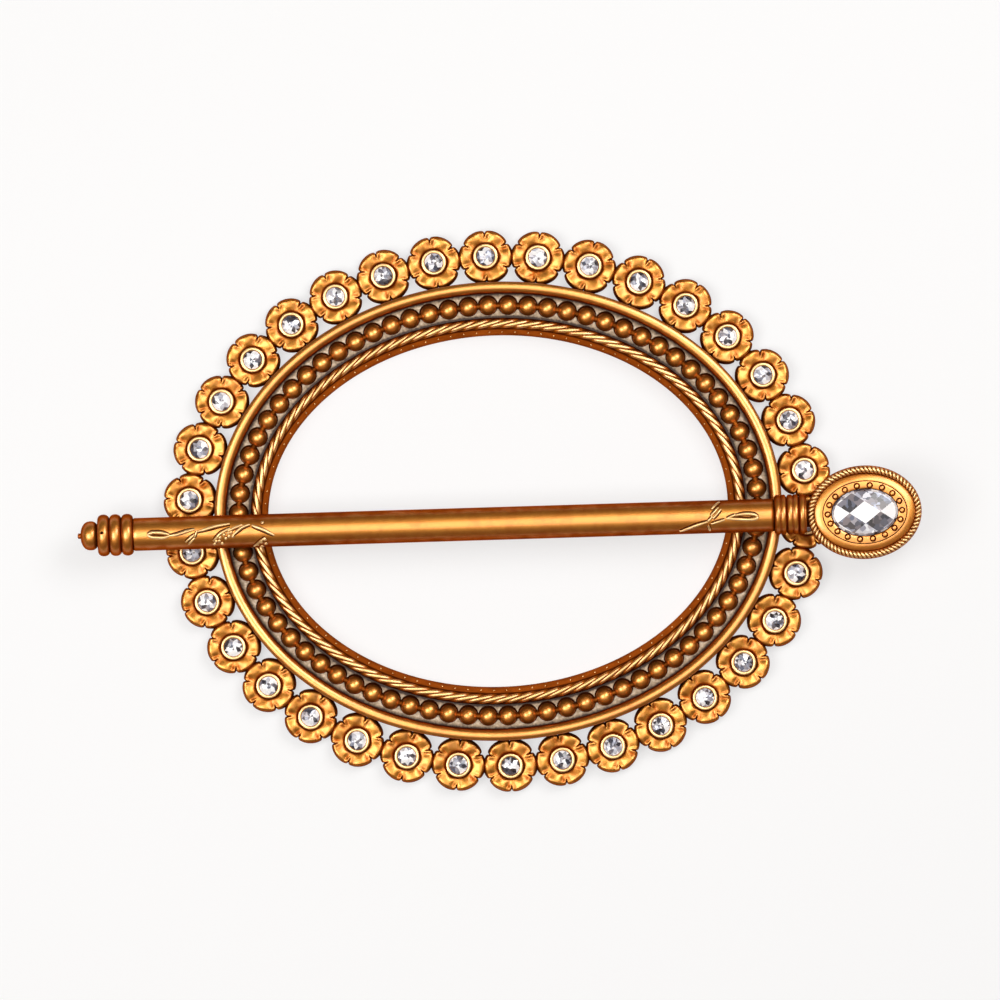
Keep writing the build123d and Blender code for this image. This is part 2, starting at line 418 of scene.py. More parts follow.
def champagne_finish():
    finish, nodes, links, shader = nodes_of("champagne_floor")
    shader.inputs["Metallic"].default_value = 0.2
    shader.inputs["Roughness"].default_value = 0.5
    place = nodes.new("ShaderNodeTexCoord")
    cloud = nodes.new("ShaderNodeTexNoise")
    cloud.inputs["Scale"].default_value = 1300
    cloud.inputs["Detail"].default_value = 4
    links.new(place.outputs["Object"], cloud.inputs["Vector"])
    # Painted shade: the channel floor turns nearly black along its walls, by the attribute painted on the
    # ring
    hollow = nodes.new("ShaderNodeAttribute")
    hollow.attribute_name = "shade_and_patina"
    patchy = nodes.new("ShaderNodeMath")
    patchy.operation = "MULTIPLY_ADD"
    patchy.inputs[1].default_value = 1.3
    patchy.inputs[2].default_value = -0.48
    links.new(cloud.outputs["Fac"], patchy.inputs[0])
    amount = nodes.new("ShaderNodeMath")
    amount.use_clamp = True
    links.new(hollow.outputs["Fac"], amount.inputs[0])
    links.new(patchy.outputs[0], amount.inputs[1])
    tone = ramp(nodes, [(0.0, (0.70, 0.58, 0.44)), (0.4, (0.40, 0.29, 0.18)), (1.0, (0.04, 0.016, 0.007))])
    links.new(amount.outputs[0], tone.inputs["Fac"])
    links.new(tone.outputs["Color"], shader.inputs["Base Color"])
    return finish


champagne_floor = champagne_finish()


def stone_finish(name, cell_scale, cell_share, gloss):
    """Cut clear stone with a silvered back, drawn opaque: each facet has a painted reflection tone, broken
    up by cells painted as the reflections of what lies under it.
    """
    finish, nodes, links, shader = nodes_of(name)
    shader.inputs["Metallic"].default_value = 0.1
    shader.inputs["Roughness"].default_value = 0.1
    shader.inputs["IOR"].default_value = 1.5
    shader.inputs["Coat Weight"].default_value = gloss
    shader.inputs["Coat Roughness"].default_value = 0.03
    place = nodes.new("ShaderNodeTexCoord")
    under = nodes.new("ShaderNodeTexVoronoi")
    under.distance = "MANHATTAN"
    under.inputs["Scale"].default_value = cell_scale
    links.new(place.outputs["Object"], under.inputs["Vector"])
    parts = nodes.new("ShaderNodeSeparateColor")
    links.new(under.outputs["Color"], parts.inputs["Color"])
    facet = nodes.new("ShaderNodeAttribute")
    facet.attribute_name = "facet"
    broken = nodes.new("ShaderNodeMath")
    broken.operation = "MULTIPLY_ADD"
    broken.inputs[1].default_value = cell_share
    links.new(parts.outputs["Red"], broken.inputs[0])
    links.new(facet.outputs["Fac"], broken.inputs[2])
    cool = ramp(nodes, [
        (0.0, (0.012, 0.013, 0.025)),
        (0.35, (0.13, 0.15, 0.22)),
        (0.65, (0.48, 0.51, 0.62)),
        (1.0, (0.97, 0.98, 1.0)),
    ])
    warm = ramp(nodes, [
        (0.0, (0.022, 0.015, 0.013)),
        (0.35, (0.20, 0.155, 0.15)),
        (0.65, (0.56, 0.52, 0.54)),
        (1.0, (1.0, 0.98, 0.97)),
    ])
    tint = nodes.new("ShaderNodeMix")
    tint.data_type = "RGBA"
    links.new(parts.outputs["Green"], tint.inputs["Factor"])
    for tones, socket in ((cool, "A"), (warm, "B")):
        links.new(broken.outputs[0], tones.inputs["Fac"])
        ends = [end for end in tint.inputs if end.name == socket and end.type == "RGBA"]
        links.new(tones.outputs["Color"], ends[0])
    ends = [end for end in tint.outputs if end.type == "RGBA"]
    links.new(ends[0], shader.inputs["Base Color"])
    return finish


rhinestone = stone_finish("rhinestone", cell_scale=1500, cell_share=0.16, gloss=0.6)
head_crystal = stone_finish("head_crystal", cell_scale=640, cell_share=0.58, gloss=0.15)


# Body of the ring: rail, sunk channel and bed of the rope, drawn round as one loop
rail_outer, rail_inner, rail_middle = 6.38, 9.18, 7.65
rail_height, rail_crown = 8.0, 1.7
rail_foot, channel_end, rope_end = 9.25, 15.35, 18.15


def ring_row(depth, height):
    return (flower_line_half_length - depth, flower_line_half_height - depth, height)


def rail_top(depth):
    return rail_height - rail_crown + sqrt(rail_crown ** 2 - (depth - rail_middle) ** 2)


body_rows = [ring_row(7.0, 0.0), ring_row(6.5, 0.4), ring_row(rail_outer, 3.0), ring_row(rail_outer, 7.25)]
body_rows += [ring_row(depth, rail_top(depth)) for depth in spread(rail_outer + 0.07, rail_inner - 0.1, 13)]
body_rows += [ring_row(rail_inner, 6.95), ring_row(9.2, 4.62), ring_row(9.3, channel_floor)]
body_rows += [ring_row(depth, channel_floor) for depth in (9.7, 10.2, 11.2, 12.3, 13.4, 14.5, 14.9, 15.25)]
body_rows += [ring_row(15.4, 4.7), ring_row(15.5, 5.8), ring_row(15.9, 6.7), ring_row(16.15, 7.2)]
body_rows += [ring_row(16.45, 7.42), ring_row(16.75, 7.48), ring_row(17.05, 7.42), ring_row(17.35, 7.2)]
body_rows += [ring_row(17.6, 6.7), ring_row(18.05, 5.8), ring_row(18.25, 5.3), ring_row(18.9, 2.8)]
body_rows += [ring_row(19.55, 0.4), ring_row(19.2, 0.0)]
ring_body = oval_rows("ring_body", body_rows, steps=408, closed=True)


def ring_depth(place):
    """How far inside the flower line a place lies, measured as the bands are."""
    low, high = -15.0, 40.0
    for k in range(26):
        middle = (low + high) / 2
        x = place.x / (flower_line_half_length - middle)
        y = place.y / (flower_line_half_height - middle)
        if x * x + y * y < 1:
            low = middle
        else:
            high = middle
    return (low + high) / 2


# Painted shade with patina on the ring: dark on the sides of the rail below its crown, along both edges of
# the channel floor beside its walls and on the bed of the rope; a little dark on the back
def body_shade_and_patina(place):
    depth = ring_depth(place)
    if place.z < 0.5:
        return back_darkening
    if depth < rail_foot:
        return 0.72 * (1 - step(7.2, 7.7, place.z))
    if depth < channel_end and place.z < channel_floor + 0.15:
        return deep_shade_and_patina * (1 - step(rail_foot, 10.1, depth) + step(14.2, 15.2, depth)) + 0.12
    if depth < rope_end:
        return 0.78
    return 0.12


shade_and_patina(ring_body, body_shade_and_patina)
dress(ring_body, antique_gold)
ring_body.data.materials.append(champagne_floor)
ring_body.data.materials.append(shaded_gold)
# Steep faces take the darker finish, which is painted shade; the channel floor takes the champagne finish
for face in ring_body.data.polygons:
    if abs(face.center.z / mm - channel_floor) < 0.02:
        face.material_index = 1
    elif abs(face.normal.z) < 0.5:
        face.material_index = 2
smooth(ring_body, angle=35)
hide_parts("ring_frame")


# Flowers: one is drawn out from its back, then its petals are ruffled, and it is copied.
# Each row is a radius and a height, from the back over the petals to the floor of the setting.
petal_inner, petal_outer = 3.3, 6.6
flower_rows = [
    (6.3, 0.0), (6.55, 0.3), (6.6, 1.5), (6.56, 2.6), (6.42, 3.3), (6.3, 3.7), (6.15, 3.98),
    (5.9, 4.12), (5.55, 4.14), (5.2, 4.1), (4.8, 4.05), (4.4, 3.99), (4.0, 3.92), (3.65, 3.83),
    (3.35, 3.7), (3.2, 3.52), (3.1, 3.45), (3.07, 3.6), (3.05, 4.9), (3.01, 5.1), (2.95, 5.17),
    (2.7, 5.19), (2.45, 5.17), (2.38, 5.1), (2.33, 4.9), (2.3, 4.3), (1.2, 4.28),
]
flower_steps = 96
cleft_angle = 30
petal_top, petal_brim, bezel_foot, bezel_height = 3.75, 3.3, 4.5, 4.95


def petal_edge(side, turn):
    """How far a petal reaches at an angle from its middle; it is shortest at the clefts."""
    notch = 0.3 * (side / cleft_angle) ** 3 + 0.45 * bump(cleft_angle, 2.0, side)
    # Petals reach further beside the next flowers, at 90 degrees, and towards the rail, at 180
    around = abs(turn) * 180 / pi
    return petal_outer - notch + 0.2 * bump(90, 22, around) + 0.28 * step(100, 140, around)


def petal_ruffle(angle, share, rim):
    """A full belly, a hollow on each side of it, and lips beside the clefts at the rim."""
    side = abs(angle)
    lips = 0.2 * bump(26.3, 2.4, side) * step(0.3, 0.65, share)
    cleft = 0.45 * bump(cleft_angle, 2.0, side) * rim
    cleft += 0.12 * bump(cleft_angle, 8.0, side) * bump(0.35, 0.3, share)
    hollows = (0.28 if angle > 0 else 0.13) * bump(20.0, 5.6, side) * bump(0.52, 0.34, share)
    belly = 0.2 * bump(0, 13.0, side) * bump(0.58, 0.42, share)
    return lips - cleft - hollows + belly


def petal_shade_and_patina(angle, share, rim):
    """Painted shade with patina: brown in the clefts, in the hollows beside them and round the setting; the
    hollow on one side of each petal is painted darker than the other.
    """
    side = abs(angle)
    cleft = 0.9 * bump(cleft_angle, 1.7, side) * rim
    hollows = (0.46 if angle > 0 else 0.26) * bump(20.8, 4.4, side) * bump(0.48, 0.34, share)
    return max(cleft, hollows, 0.34 * (1 - step(0.0, 0.25, share)))


def ruffle_flower(flower):
    layer = flower.data.attributes.new("shade_and_patina", "FLOAT", "POINT")
    for vertex, mark in zip(flower.data.vertices, layer.data):
        x, y, z = vertex.co / mm
        reach, turn = hypot(x, y), atan2(y, x)
        even = (turn * 180 / pi) % (2 * cleft_angle) / cleft_angle - 1
        angle = cleft_angle * sin(even * pi / 2)
        turn += radians(angle - cleft_angle * even)
        side = abs(angle)
        share = (reach - petal_inner) / (petal_outer - petal_inner)
        # Painted shade: dark in the groove round the setting, on the inner wall of the setting round the
        # stone, low on the petals' brim and down the flower's sides
        depth = 0.75 * bump(3.14, 0.08, reach) if z < bezel_foot else 0.8 * (1 - step(2.32, 2.4, reach))
        if share > 0:
            reach = petal_inner + share * (petal_edge(side, turn) - petal_inner)
            rim = step(0.45, 0.82, share)
            if z > petal_brim:
                brim = step(petal_brim, petal_top, z)
                depth = max(petal_shade_and_patina(angle, share, rim), 0.8 * (1 - brim))
                z += petal_ruffle(angle, share, rim) * step(0.0, 0.3, share) * brim
            else:
                depth = 0.75 if z > 0.5 else 0.4
        vertex.co = (reach * cos(turn) * mm, reach * sin(turn) * mm, z * mm)
        mark.value = depth


flower = oval_rows("flower", [(r, r, z) for r, z in flower_rows], flower_steps, closed=False)
ruffle_flower(flower)
flower_places = []
for number in range(stone_count):
    low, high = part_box(f"flower_stone_{number + 1:02d}")
    x, y = (low.x + high.x) / 2 / mm, (low.y + high.y) / 2 / mm
    out = atan2(y / flower_line_half_height ** 2, x / flower_line_half_length ** 2)
    flower_places.append((x, y, out))
flower_stands = [standing(x, y, 0, out) for x, y, out in flower_places]
flower_wreath = repeat(flower, flower_stands, "flower_wreath")

# The cast petals are a little uneven, and three of them are pocked
pocked_petals = ((10.5, 58.1), (48.3, -48.3), (-8.8, -58.6))
ripple_scale, ripple_height = 0.55, 0.09
pock_scale, pock_depth, pock_reach = 1.9, 0.55, 2.0
for vertex, mark in zip(flower_wreath.data.vertices, flower_wreath.data.attributes["shade_and_patina"].data):
    place = vertex.co / mm
    if 3.0 < place.z < 4.6:
        ripple = noise.noise(Vector((place.x * ripple_scale, place.y * ripple_scale, 3.7)))
        vertex.co.z += ripple_height * ripple * mm
        # Where a ripple rises, the painted shade is lighter; the pocks are painted darker
        mark.value = max(0.0, mark.value - 0.25 * ripple * (mark.value < 0.6))
        for x, y in pocked_petals:
            near = bump(0, pock_reach, hypot(place.x - x, place.y - y))
            pock = max(0.0, noise.noise(Vector((place.x * pock_scale, place.y * pock_scale, 8.1))))
            vertex.co.z -= pock_depth * near * pock * mm
            mark.value = min(1.0, mark.value + 1.1 * near * pock)
dress(flower_wreath, petal_gold)
flower_wreath.data.materials.append(shaded_gold)
flower_wreath.data.materials.append(wear_and_highlight_gold)
# The flower's sides below the brim take the darker finish, which is painted shade; the tops of the settings
# take the lighter one, which is painted highlight
for face in flower_wreath.data.polygons:
    if face.center.z < petal_brim * mm:
        face.material_index = 1
    elif face.center.z > bezel_height * mm:
        face.material_index = 2
smooth(flower_wreath, angle=50)


# Beads: a ball cut off below the floor and painted darker towards its foot, with a dark disc round its foot
# set off to one side as a painted shadow, strung on a wire
bead_radius, bead_middle, bead_foot, bead_sides = 2.26, 4.7, 4.3, 22
shadow_radius, shadow_shift, shadow_height = 2.52, 0.22, 4.53
fresh()
bpy.ops.mesh.primitive_uv_sphere_add(
    segments=bead_sides, ring_count=14, radius=bead_radius * mm, location=(0, 0, 0)
)
bead = named("bead")
edit()
bpy.ops.transform.translate(value=(0, 0, bead_middle * mm))
bpy.ops.mesh.bisect(plane_co=(0, 0, bead_foot * mm), plane_no=(0, 0, 1), clear_inner=True, use_fill=True)
close_up()
shade_and_patina(bead, lambda place: 1.0 - step(4.6, 5.75, place.z))
# A painted shadow: a dark disc round the foot of the bead, set off to one side
bead_shadow_rows = [(shadow_radius, bead_foot), (shadow_radius, shadow_height), (1.2, shadow_height)]
bead_shadow = oval_rows("bead_shadow", [(r, r, z) for r, z in bead_shadow_rows], bead_sides, closed=False)
shade_and_patina(bead_shadow, lambda place: 1.0)
bead.data.materials.append(bead_gold)
bead_shadow.data.materials.append(shaded_gold)
bead_shadow.location.y = shadow_shift * mm
bead = join([bead, bead_shadow], "bead")
bead_places = [standing(x, y, 0, 0) for x, y, out in ring_stations(bead_depth, bead_count)]
bead_balls = repeat(bead, bead_places, "bead_balls")
wire_radius, wire_height, wire_sides = 0.75, 5.1, 8
wire_turns = [2 * pi * k / wire_sides for k in range(wire_sides)]
wire_rows = [
    ring_row(bead_depth + wire_radius * cos(turn), wire_height + wire_radius * sin(turn))
    for turn in wire_turns
]
bead_wire = oval_rows("bead_wire", wire_rows, steps=4 * bead_count, closed=True)
# The wire is painted dark: painted shade between the beads
shade_and_patina(bead_wire, lambda place: 0.8)
bead_wire.data.materials.append(bead_gold)
bead_row = join([bead_balls, bead_wire], "bead_row")
edit()
close_up()
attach(bead_row, "root")
smooth(bead_row, angle=60)


# Rope: one strand is drawn out and bent over the core, with a small drop below it on the wall,
# and laid all the way round
rope_core, rope_middle = 0.72, 6.6
strand_width, strand_height, strand_wrap = 1.3, 0.6, 86.0
drop_radius, drop_shift, drop_height = 0.3, 1.95, 3.55
strand_lead = (rope_core + strand_height) / tan(radians(rope_slant))


def rope_strand():
    strand = grain_of_rice("strand", strand_width, 2.0, strand_height, sides=10, rings=9)
    layer = strand.data.attributes.new("shade_and_patina", "FLOAT", "POINT")
    for vertex, mark in zip(strand.data.vertices, layer.data):
        across, along, up = vertex.co / mm
        # Full along most of its length, and rounded off at its ends
        full = sqrt(1 - along ** 8) if abs(along) < 0.999 else 0.0
        round_way = atan2(up / strand_height, across / (strand_width / 2))
        across, up = strand_width / 2 * full * cos(round_way), strand_height * full * sin(round_way)
        turn = radians(strand_wrap) * along
        outward, sideways = Vector((-sin(turn), 0, cos(turn))), Vector((-cos(turn), 0, -sin(turn)))
        square = (sideways * strand_lead - Vector((0, rope_core, 0))).normalized()
        path = outward * (rope_core + up) + Vector((0, strand_lead * turn, rope_middle))
        vertex.co = (path + square * across) * mm
        # Painted shade: dark at the foot of each strand, between it and the next, and towards its ends
        mark.value = max(deep_shade_and_patina * (1 - step(0.26, 0.52, up)), 0.7 * step(0.4, 0.78, abs(along)))
    fresh()
    bpy.ops.mesh.primitive_uv_sphere_add(
        segments=8, ring_count=6, radius=drop_radius * mm, location=(-drop_shift * mm, 0, drop_height * mm)
    )
    drop = named("drop")
    shade_and_patina(drop, lambda place: 0.0)
    return join([strand, drop], "strand")


strand_places = [standing(x, y, 0, out) for x, y, out in ring_stations(rope_depth, rope_strand_count)]
rope_edge = repeat(rope_strand(), strand_places, "rope_edge")
dress(rope_edge, rope_gold)
smooth(rope_edge, angle=80)


# Stones of the flowers: a girdle, two rows of facets and a low point in the middle
draw = random.Random(8)
stone_radius, stone_foot, girdle_height = 2.28, 4.3, 4.84
kite_radius, kite_height = 1.55, 5.2
star_radius, star_height, star_rise = 0.75, 5.36, 0.05
stone_sides, facet_sides = 16, 8
stone_reflection_tones = (0.0, 0.08, 0.25, 0.42, 0.6, 0.85, 0.95, 1.0)
fresh()
bpy.ops.mesh.primitive_circle_add(vertices=stone_sides, radius=stone_radius * mm, location=(0, 0, 0))
stone = named("stone")
edit()
bpy.ops.transform.translate(value=(0, 0, stone_foot * mm))
girdle_rise = {"value": (0, 0, (girdle_height - stone_foot) * mm)}
bpy.ops.mesh.extrude_edges_move(TRANSFORM_OT_translate=girdle_rise)
bpy.ops.mesh.primitive_circle_add(
    vertices=facet_sides, radius=kite_radius * mm, location=(0, 0, kite_height * mm)
)
bpy.ops.transform.rotate(value=pi / facet_sides, orient_axis="Z", center_override=(0, 0, 0))
bpy.ops.mesh.primitive_circle_add(
    vertices=facet_sides, radius=star_radius * mm, location=(0, 0, star_height * mm)
)
bpy.ops.mesh.select_all(action="SELECT")
bpy.ops.mesh.convex_hull()
bpy.ops.mesh.dissolve_limited(angle_limit=radians(1))
bpy.ops.mesh.select_mode(type="FACE")
bpy.ops.mesh.select_all(action="DESELECT")
leave()
for face in stone.data.polygons:
    face.select = face.center.z > (star_height - 0.01) * mm
edit()
bpy.ops.mesh.poke(offset=star_rise * mm)
close_up()
for number, (x, y, out) in enumerate(flower_places, start=1):
    cut = stone.copy()
    cut.data = stone.data.copy()
    cut.name = cut.data.name = f"rhinestone_{number:02d}"
    bpy.context.scene.collection.objects.link(cut)
    cut.matrix_world = standing(x, y, 0, out + draw.uniform(0, pi))
    settle(cut)
    # Each facet of each stone gets a tone drawn at random: a painted reflection
    rows = [[draw.choice(stone_reflection_tones) for sector in range(facet_sides)] for row in range(3)]
    layer = cut.data.attributes.new("facet", "FLOAT", "FACE")
    for face, mark in zip(cut.data.polygons, layer.data):
        away = (face.center.x / mm - x, face.center.y / mm - y)
        row = (hypot(*away) > star_radius) + (hypot(*away) > kite_radius)
        sector = int((atan2(away[1], away[0]) + pi) / (2 * pi) * facet_sides) % facet_sides
        mark.value = rows[row][sector]
    dress(cut, rhinestone)
    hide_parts(f"flower_stone_{number:02d}")
bpy.data.objects.remove(stone)


# Pin: turned from the tip to the collar
tip, knob_start, ring_start, ring_pitch = -103.65, -102.9, -98.7, 2.92
ring_radius, groove_radius, ring_count = 5.15, 3.85, 3
collar_start, rib_pitch, rib_count = 67.85, 3.0, 3
rib_radius, rib_groove = 4.95, 4.3
# Each rib is split by a fine groove: places along it, and how far they lie under its crown
rib_outline = [
    (0.0, 0.65), (0.16, 0.4), (0.32, 0.12), (0.5, 0.01), (0.85, 0.0), (1.2, 0.01), (1.34, 0.1),
    (1.46, 0.26), (1.58, 0.26), (1.7, 0.1), (1.84, 0.01), (2.2, 0.0), (2.54, 0.01), (2.7, 0.12),
    (2.86, 0.4),
]
collar_cut, neck_radius, neck_end = 75.75, 3.2, 80.0
shaft_start = ring_start + ring_count * ring_pitch
knob_outline = [
    (0.0, 1.0), (0.1, 1.6), (0.35, 2.25), (0.7, 2.8), (1.1, 3.2), (1.6, 3.46), (2.3, 3.6), (3.0, 3.54),
    (3.5, 3.34), (3.85, 3.05), (4.08, 2.75), (4.2, 2.7),
]


def round_rib(start, length, low, high, steps, power):
    """Outline of one round rib between two grooves."""
    turns = [pi * k / steps for k in range(steps + 1)]
    return [
        (start + length / 2 * (1 - cos(turn)), low + (high - low) * sin(turn) ** power) for turn in turns
    ]


nub_radius = 0.68
outline = [(tip, 0.0), (tip, 0.4), (tip + 0.12, 0.62), (tip + 0.25, nub_radius), (knob_start, nub_radius)]
outline += [(knob_start + along, reach) for along, reach in knob_outline]
for ring in range(ring_count):
    start = ring_start + ring * ring_pitch
    swell = round_rib(start, ring_pitch, groove_radius, ring_radius, steps=12, power=0.8)
    outline += swell[1:] if ring else swell
outline += [(shaft_start + 0.08, 3.9), (shaft_start + 0.3, shaft_radius)]
outline += [(along, shaft_radius) for along in spread(shaft_start + 1, collar_start - 1, 14)]
outline += [(collar_start - 0.25, shaft_radius), (collar_start - 0.05, 3.95)]
for rib in range(rib_count):
    start = collar_start + rib * rib_pitch
    ribs = [(start + along, rib_radius - drop) for along, drop in rib_outline]
    outline += [point for point in ribs if point[0] < collar_cut]
outline += [(collar_cut, neck_radius), (neck_end, neck_radius), (neck_end, 0.0)]
pin_shaft = lathe("pin_shaft", outline, steps=80)


def pin_shade_and_patina(place):
    """Painted shade with patina: brown in the grooves between the rings and between the ribs, and a little
    dark on the nub at the tip.
    """
    reach = hypot(place.y, place.z)
    if place.x < knob_start + 0.05:
        return back_darkening
    if place.x < ring_start - 0.3:
        return 0.0
    if place.x < shaft_start + 0.2:
        return deep_shade_and_patina * (1 - step(groove_radius + 0.1, groove_radius + 0.6, reach))
    if place.x < collar_start - 0.3:
        return 0.0
    return deep_shade_and_patina * (1 - step(rib_groove + 0.02, rib_groove + 0.25, reach))


shade_and_patina(pin_shaft, pin_shade_and_patina)
pin_shaft.matrix_world = pin_place
settle(pin_shaft)
dress(pin_shaft, pin_gold)
smooth(pin_shaft, angle=50)
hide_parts("pin")


# Head of the pin: an oval plate with a cord bed, a domed band, a fine groove and a seat for the crystal
head_rows = [
    (13.4, 10.9, -3.6), (14.0, 11.5, -3.25), (14.0, 11.5, 2.75), (13.85, 11.35, 3.05), (13.3, 10.7, 3.15),
    (12.75, 9.85, 3.0), (12.62, 9.66, 3.0), (12.52, 9.54, 3.3), (12.35, 9.36, 3.5), (11.9, 8.98, 3.67),
    (11.3, 8.48, 3.83), (10.7, 8.02, 3.95), (10.48, 7.83, 3.94), (10.4, 7.76, 3.5), (10.28, 7.64, 3.5),
    (10.2, 7.57, 3.94), (9.9, 7.3, 3.98), (9.1, 6.6, 4.0), (8.5, 6.05, 3.98), (8.3, 5.9, 3.9),
    (8.2, 5.82, 3.4), (8.2, 5.82, 2.0),
]
head_face, head_back, plate_edge = 4.0, -3.2, 2.8
groove_oval, groove_width, groove_top = (10.34, 7.7), 0.012, 3.6
band_oval = (12.5, 9.5)
head_plate = oval_rows("head_plate", head_rows, steps=120, closed=False)


def groove_share(place):
    """1 in the fine groove round the studs, 0 elsewhere on the face."""
    reach = hypot(place.x / groove_oval[0], place.y / groove_oval[1])
    return 1.0 if abs(reach - 1) < groove_width and place.z < groove_top else 0.0


def head_shade_and_patina(place):
    """Painted shade with patina: brown in the groove, in the seat of the crystal and under the cord, and a
    little dark on the back and the side of the plate.
    """
    if place.z < head_back:
        return back_darkening
    if place.z < plate_edge and hypot(place.x, place.y) > 8.5:
        return 0.2
    if hypot(place.x / band_oval[0], place.y / band_oval[1]) > 1:
        return 0.62
    return deep_shade_and_patina * (1 - step(3.3, 3.5, place.z) * (1 - groove_share(place)))


shade_and_patina(head_plate, head_shade_and_patina)
head_plate.matrix_world = head_place
settle(head_plate)
dress(head_plate, pin_gold)
smooth(head_plate, angle=35)

# Cord round the edge of the head; its strands are longer and lie flatter at the top and the bottom
cord_count, cord_height, cord_oval = 74, 3.6, (13.2, 10.5)
cord_strand = grain_of_rice("cord_strand", width=0.8, length=1.0, height=0.6, sides=8, rings=6)
# Painted shade: dark at the foot of each cord strand; the strands take the lighter finish, which is painted
# highlight
shade_and_patina(cord_strand, lambda place: 0.7 * (1 - step(0.08, 0.34, place.z)))
cord_places = []
for x, y, out in oval_stations(*cord_oval, cord_count):
    sideways = cos(out) ** 2
    lean, length = 48 + 4 * sideways, 2.25 - 0.3 * sideways
    laid = standing(x, y, cord_height, out - radians(lean))
    cord_places.append(head_place @ laid @ Matrix.Diagonal((1, length, 1, 1)))
head_cord = repeat(cord_strand, cord_places, "head_cord")
dress(head_cord, wear_and_highlight_gold)
smooth(head_cord, angle=80)

# Studs round the crystal: a low gold button in a dark ring
stud_count, stud_oval = 18, (9.15, 6.65)
stud_sink = 0.02
stud_rows = [
    (0.86, -0.12), (0.82, 0.03), (0.76, 0.06), (0.54, 0.05), (0.5, 0.14), (0.38, 0.2), (0.18, 0.22),
]
stud = oval_rows("stud", [(r, r, z) for r, z in stud_rows], steps=16, closed=False)
shade_and_patina(stud, lambda place: 0.9 * step(0.44, 0.52, hypot(place.x, place.y)))
stud_places = []
for number in range(stud_count):
    turn = 2 * pi * number / stud_count
    x, y = stud_oval[0] * cos(turn), stud_oval[1] * sin(turn)
    stud_places.append(head_place @ standing(x, y, head_face - stud_sink, 0))
head_studs = repeat(stud, stud_places, "head_studs")
dress(head_studs, pin_gold)
smooth(head_studs, angle=60)


# Crystal: a low dome of lozenge facets, cut to an oval
lozenge_length, lozenge_width = 3.8, 2.75
lozenge_lines = (0.5, 1.3, 1.95)
crystal_top, crystal_fall, crystal_spread = 5.5, 0.8, (8.4, 5.85)
# Painted reflections: how bright the lozenges of the middle are, by their column and row
lozenge_reflection_tones = {
    (0, 0): 1.0, (1, -1): 0.95, (-1, 1): 0.95, (1, 1): 0.25, (-1, -1): 0.5,
    (1, 0): -0.06, (0, 1): -0.16, (-1, 0): -0.02, (0, -1): -0.16,
}
# The facets round the rim get painted reflections drawn at random
rim_reflection_tones = (0.0, 0.1, 0.25, 0.5, 0.75, 0.9)
blank_depth = 12


def lozenge_line(number):
    """Where the grid lines of the facets lie: close to even in the middle, closer at the rim."""
    row = min(2, int(abs(number)))
    return lozenge_lines[row] * (1 if number > 0 else -1)


def lozenge_number(value):
    size = sum(abs(value) > line for line in lozenge_lines)
    return size if value > 0 else -size


fresh()
bpy.ops.mesh.primitive_grid_add(x_subdivisions=5, y_subdivisions=5, size=5 * mm, location=(0, 0, 0))
crystal = named("crystal")
for vertex in crystal.data.vertices:
    column, row = lozenge_line(vertex.co.x / mm), lozenge_line(vertex.co.y / mm)
    x, y = (column - row) * lozenge_length, (column + row) * lozenge_width
    fall = crystal_fall * ((x / crystal_spread[0]) ** 2 + (y / crystal_spread[1]) ** 2)
    vertex.co = (x * mm, y * mm, (crystal_top - fall) * mm)
edit()
bpy.ops.mesh.select_all(action="SELECT")
bpy.ops.mesh.extrude_region_move(TRANSFORM_OT_translate={"value": (0, 0, -blank_depth * mm)})
close_up()
trim_rows = [(8.12, 5.74, 2.05), (8.12, 5.74, 3.95), (7.7, 5.35, 4.4), (6.9, 4.6, 8.0)]
crystal_trim = oval_rows("crystal_trim", trim_rows, steps=26, closed=False)
pick(crystal)
trim = crystal.modifiers.new("trim", "BOOLEAN")
trim.operation = "INTERSECT"
trim.solver = "EXACT"
trim.object = crystal_trim
bpy.ops.object.modifier_apply(modifier="trim")
bpy.data.objects.remove(crystal_trim)
edit()
close_up()
layer = crystal.data.attributes.new("facet", "FLOAT", "FACE")
# The trim leaves the facets in no fixed order, so they are taken one by one across the stone
across_stone = Vector((1.0, 1.379, 3.719))
for face in sorted(crystal.data.polygons, key=lambda facet: facet.center.dot(across_stone)):
    x, y = face.center.x / mm / lozenge_length, face.center.y / mm / lozenge_width
    cell = (lozenge_number((x + y) / 2), lozenge_number((y - x) / 2))
    if face.normal.z > 0.85 and cell in lozenge_reflection_tones:
        layer.data[face.index].value = lozenge_reflection_tones[cell]
    else:
        layer.data[face.index].value = draw.choice(rim_reflection_tones)
crystal.matrix_world = head_place
settle(crystal)
crystal.name = crystal.data.name = "crystal"
dress(crystal, head_crystal)
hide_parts("oval_crystal")


# Vine on the shaft: raised stems, leaves and berries in the lighter finish, a painted highlight, each with
# a narrow dark line beside it, a painted shadow
def on_shaft(along, across, lift):
    turn = across / shaft_radius
    reach = shaft_radius + lift
    return Vector((along * mm, reach * sin(turn) * mm, reach * cos(turn) * mm))


